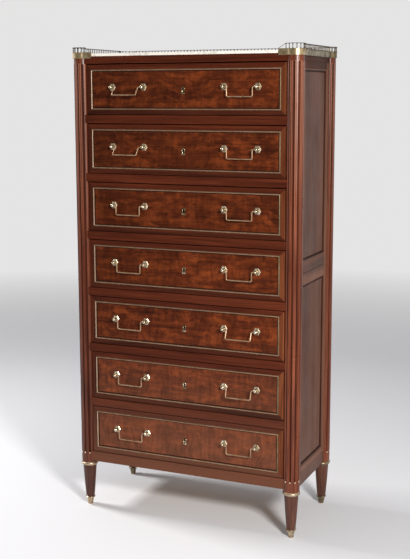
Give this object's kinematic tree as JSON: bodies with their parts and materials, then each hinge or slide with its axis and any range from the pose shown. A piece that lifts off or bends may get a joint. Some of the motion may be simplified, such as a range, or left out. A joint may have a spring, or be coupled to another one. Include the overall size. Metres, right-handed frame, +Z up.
{
  "type": "semainier chest of drawers",
  "caption": "Tall narrow chest with a column of equal drawers, fluted corner posts on turned feet, bail handles and a marble top in a low gallery.",
  "frame": {"origin": "on the floor, under the middle of the whole chest with its bails", "axes": "+Z up, +X to the right as the drawers are faced, and the drawers open towards -Y"},
  "size_m": [0.768, 0.3802, 1.5],
  "materials": {
    "mahogany": "french polished mahogany, straight grain",
    "flame_mahogany": "french polished figured mahogany",
    "side_mahogany": "french polished mahogany, vertical grain, faded",
    "oak": "plain oak, waxed",
    "brass": "aged lacquered brass",
    "marble": "polished white marble, faint veins"
  },
  "bodies": {
    "carcase": {"post_front_right": "mahogany", "post_front_left": "mahogany", "post_back_right": "mahogany", "post_back_left": "mahogany", "collar_front_right": "brass", "collar_front_left": "brass", "collar_back_right": "brass", "collar_back_left": "brass", "sabot_front_right": "brass", "sabot_front_left": "brass", "sabot_back_right": "brass", "sabot_back_left": "brass", "base_frame": "mahogany", "top_frame": "mahogany", "divider_1": "mahogany", "divider_2": "mahogany", "divider_3": "mahogany", "divider_4": "mahogany", "divider_5": "mahogany", "divider_6": "mahogany", "side_right": "side_mahogany", "side_left": "side_mahogany", "back_panel": "oak", "marble_top": "marble", "gallery": "brass"},
    "drawer_1": {"drawer_1_front": "flame_mahogany", "drawer_1_box": "oak", "drawer_1_moulding": "brass"},
    "drawer_2": {"drawer_2_front": "flame_mahogany", "drawer_2_box": "oak", "drawer_2_moulding": "brass"},
    "drawer_3": {"drawer_3_front": "flame_mahogany", "drawer_3_box": "oak", "drawer_3_moulding": "brass"},
    "drawer_4": {"drawer_4_front": "flame_mahogany", "drawer_4_box": "oak", "drawer_4_moulding": "brass"},
    "drawer_5": {"drawer_5_front": "flame_mahogany", "drawer_5_box": "oak", "drawer_5_moulding": "brass"},
    "drawer_6": {"drawer_6_front": "flame_mahogany", "drawer_6_box": "oak", "drawer_6_moulding": "brass"},
    "drawer_7": {"drawer_7_front": "flame_mahogany", "drawer_7_box": "oak", "drawer_7_moulding": "brass"},
    "bail_1_left": {"drawer_1_bail_left": "brass"},
    "bail_1_right": {"drawer_1_bail_right": "brass"},
    "bail_2_left": {"drawer_2_bail_left": "brass"},
    "bail_2_right": {"drawer_2_bail_right": "brass"},
    "bail_3_left": {"drawer_3_bail_left": "brass"},
    "bail_3_right": {"drawer_3_bail_right": "brass"},
    "bail_4_left": {"drawer_4_bail_left": "brass"},
    "bail_4_right": {"drawer_4_bail_right": "brass"},
    "bail_5_left": {"drawer_5_bail_left": "brass"},
    "bail_5_right": {"drawer_5_bail_right": "brass"},
    "bail_6_left": {"drawer_6_bail_left": "brass"},
    "bail_6_right": {"drawer_6_bail_right": "brass"},
    "bail_7_left": {"drawer_7_bail_left": "brass"},
    "bail_7_right": {"drawer_7_bail_right": "brass"}
  },
  "joints": [
    {"name": "drawer_1_slide", "type": "slide", "parent": "carcase", "child": "drawer_1", "axis": [0, -1, 0], "range_m": [0, 0.24]},
    {"name": "drawer_2_slide", "type": "slide", "parent": "carcase", "child": "drawer_2", "axis": [0, -1, 0], "range_m": [0, 0.24]},
    {"name": "drawer_3_slide", "type": "slide", "parent": "carcase", "child": "drawer_3", "axis": [0, -1, 0], "range_m": [0, 0.24]},
    {"name": "drawer_4_slide", "type": "slide", "parent": "carcase", "child": "drawer_4", "axis": [0, -1, 0], "range_m": [0, 0.24]},
    {"name": "drawer_5_slide", "type": "slide", "parent": "carcase", "child": "drawer_5", "axis": [0, -1, 0], "range_m": [0, 0.24]},
    {"name": "drawer_6_slide", "type": "slide", "parent": "carcase", "child": "drawer_6", "axis": [0, -1, 0], "range_m": [0, 0.24]},
    {"name": "drawer_7_slide", "type": "slide", "parent": "carcase", "child": "drawer_7", "axis": [0, -1, 0], "range_m": [0, 0.24]},
    {"name": "bail_1_left_swing", "type": "hinge", "parent": "drawer_1", "child": "bail_1_left", "pos_m": [-0.188, -0.17187, 1.37683], "axis": [-1, 0, 0], "range_deg": [-53, 163]},
    {"name": "bail_1_right_swing", "type": "hinge", "parent": "drawer_1", "child": "bail_1_right", "pos_m": [0.188, -0.17187, 1.37683], "axis": [-1, 0, 0], "range_deg": [-18, 198]},
    {"name": "bail_2_left_swing", "type": "hinge", "parent": "drawer_2", "child": "bail_2_left", "pos_m": [-0.188, -0.17187, 1.19319], "axis": [-1, 0, 0], "range_deg": [-53, 163]},
    {"name": "bail_2_right_swing", "type": "hinge", "parent": "drawer_2", "child": "bail_2_right", "pos_m": [0.188, -0.17187, 1.19319], "axis": [-1, 0, 0], "range_deg": [-18, 198]},
    {"name": "bail_3_left_swing", "type": "hinge", "parent": "drawer_3", "child": "bail_3_left", "pos_m": [-0.188, -0.17187, 1.00954], "axis": [-1, 0, 0], "range_deg": [-18, 198]},
    {"name": "bail_3_right_swing", "type": "hinge", "parent": "drawer_3", "child": "bail_3_right", "pos_m": [0.188, -0.17187, 1.00954], "axis": [-1, 0, 0], "range_deg": [-18, 198]},
    {"name": "bail_4_left_swing", "type": "hinge", "parent": "drawer_4", "child": "bail_4_left", "pos_m": [-0.188, -0.17187, 0.8259], "axis": [-1, 0, 0], "range_deg": [-18, 198]},
    {"name": "bail_4_right_swing", "type": "hinge", "parent": "drawer_4", "child": "bail_4_right", "pos_m": [0.188, -0.17187, 0.8259], "axis": [-1, 0, 0], "range_deg": [-18, 198]},
    {"name": "bail_5_left_swing", "type": "hinge", "parent": "drawer_5", "child": "bail_5_left", "pos_m": [-0.188, -0.17187, 0.64226], "axis": [-1, 0, 0], "range_deg": [-18, 198]},
    {"name": "bail_5_right_swing", "type": "hinge", "parent": "drawer_5", "child": "bail_5_right", "pos_m": [0.188, -0.17187, 0.64226], "axis": [-1, 0, 0], "range_deg": [-40, 176]},
    {"name": "bail_6_left_swing", "type": "hinge", "parent": "drawer_6", "child": "bail_6_left", "pos_m": [-0.188, -0.17187, 0.45861], "axis": [-1, 0, 0], "range_deg": [-18, 198]},
    {"name": "bail_6_right_swing", "type": "hinge", "parent": "drawer_6", "child": "bail_6_right", "pos_m": [0.188, -0.17187, 0.45861], "axis": [-1, 0, 0], "range_deg": [-33, 183]},
    {"name": "bail_7_left_swing", "type": "hinge", "parent": "drawer_7", "child": "bail_7_left", "pos_m": [-0.188, -0.17187, 0.27497], "axis": [-1, 0, 0], "range_deg": [-18, 198]},
    {"name": "bail_7_right_swing", "type": "hinge", "parent": "drawer_7", "child": "bail_7_right", "pos_m": [0.188, -0.17187, 0.27497], "axis": [-1, 0, 0], "range_deg": [-18, 198]}
  ]
}
